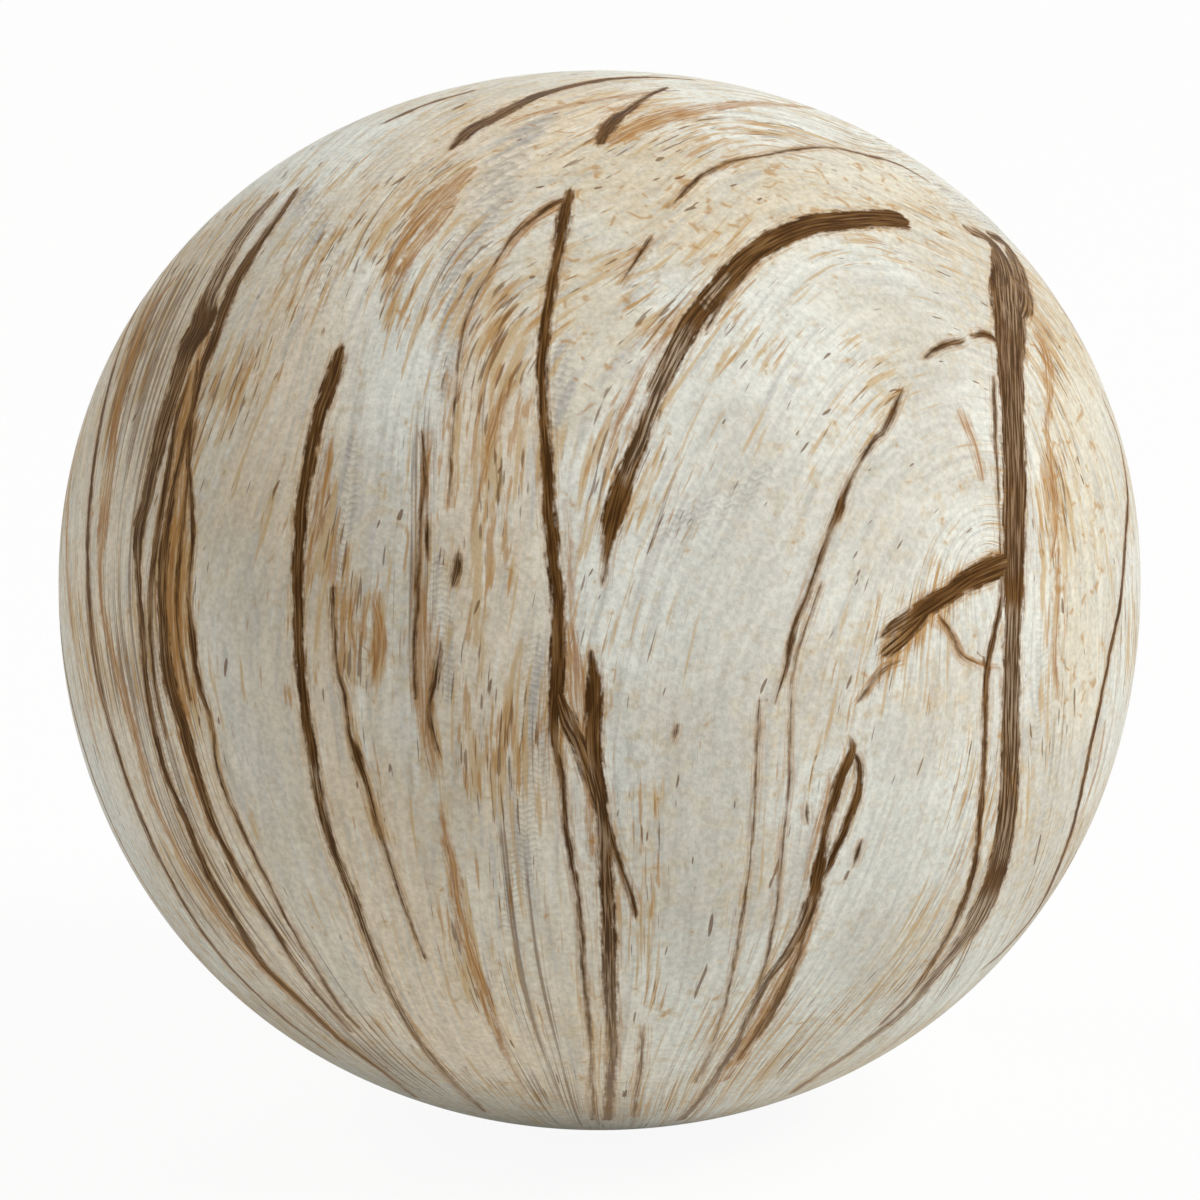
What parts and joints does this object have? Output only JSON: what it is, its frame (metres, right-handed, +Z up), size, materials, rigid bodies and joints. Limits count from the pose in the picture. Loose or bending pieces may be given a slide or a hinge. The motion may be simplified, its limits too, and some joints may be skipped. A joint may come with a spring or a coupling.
{
  "type": "marble sphere",
  "caption": "Solid ball of honed marble with dark branching veins, for a desk or a shelf.",
  "frame": {"origin": "the lowest point of the ball, at the middle of its base, where it touches what it lies on", "axes": "+Z up through the crown of the ball, -Y towards the side that the picture shows"},
  "size_m": [0.1, 0.1, 0.0975],
  "materials": {
    "marble": "honed satin, cream to grey ground with brown veins"
  },
  "bodies": {
    "root": {"ball": "marble"}
  },
  "joints": []
}
